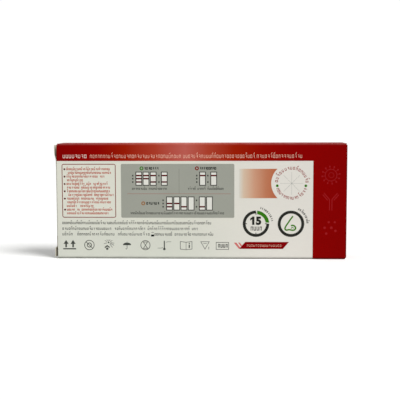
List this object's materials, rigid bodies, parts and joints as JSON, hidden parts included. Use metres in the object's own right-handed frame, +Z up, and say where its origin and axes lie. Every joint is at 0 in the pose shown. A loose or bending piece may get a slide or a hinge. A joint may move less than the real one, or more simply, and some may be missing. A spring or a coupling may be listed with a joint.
{
  "type": "folding carton for a rapid test kit",
  "caption": "Closed reverse tuck end folding carton with a printed front, hinged end closures with tuck-in tongues, dust flaps and a glued seam.",
  "frame": {"origin": "middle of the bottom panel, on the surface that the carton stands on", "axes": "+X along the printed front to its right end, -Y out of the printed front, +Z up"},
  "size_m": [0.1825, 0.0201, 0.072],
  "materials": {
    "coated_board": "white coated outside, bare cream-grey fibre inside and on cut edges",
    "red_ink": "deep red offset ink under a thin gloss varnish",
    "outline_red_ink": "thin brownish red line ink",
    "grey_ink": "flat warm grey offset ink",
    "dark_ink": "charcoal offset ink",
    "white_ground": "unprinted white left open in a printed field",
    "line_ink": "crimson line ink",
    "orange_ink": "orange tint that fades to white towards its left side",
    "green_ink": "leaf green offset ink"
  },
  "bodies": {
    "carton": {"carton_body": "coated_board", "red_field": "red_ink", "notice_frame": "outline_red_ink", "result_panel": "grey_ink", "window_frames": "dark_ink", "windows": "white_ground", "test_lines": "line_ink", "fade_block": "orange_ink", "timer_ring": "dark_ink", "timer_arc": "green_ink", "nose_ring": "dark_ink", "red_plate": "red_ink"},
    "left_closure": {"left_closure": "coated_board"},
    "left_tongue": {"left_tongue": "coated_board"},
    "right_closure": {"right_closure": "coated_board", "closure_field": "red_ink"},
    "right_tongue": {"right_tongue": "coated_board"}
  },
  "joints": [
    {"name": "left_closure_crease", "type": "hinge", "parent": "carton", "child": "left_closure", "pos_m": [-0.0898, 0.0098, 0.036], "axis": [0, 0, -1], "range_deg": [-2, 178]},
    {"name": "left_tongue_crease", "type": "hinge", "parent": "left_closure", "child": "left_tongue", "pos_m": [-0.09045, -0.00894, 0.036], "axis": [0, 0, 1], "range_deg": [-2, 38]},
    {"name": "right_closure_crease", "type": "hinge", "parent": "carton", "child": "right_closure", "pos_m": [0.0898, -0.0098, 0.036], "axis": [0, 0, -1], "range_deg": [0, 180]},
    {"name": "right_tongue_crease", "type": "hinge", "parent": "right_closure", "child": "right_tongue", "pos_m": [0.0898, 0.00895, 0.036], "axis": [0, 0, 1], "range_deg": [0, 38]}
  ],
  "couplings": [
    {"joint": "left_tongue_crease", "follows": "left_closure_crease", "ratio": 0.2},
    {"joint": "right_tongue_crease", "follows": "right_closure_crease", "ratio": 0.2}
  ]
}
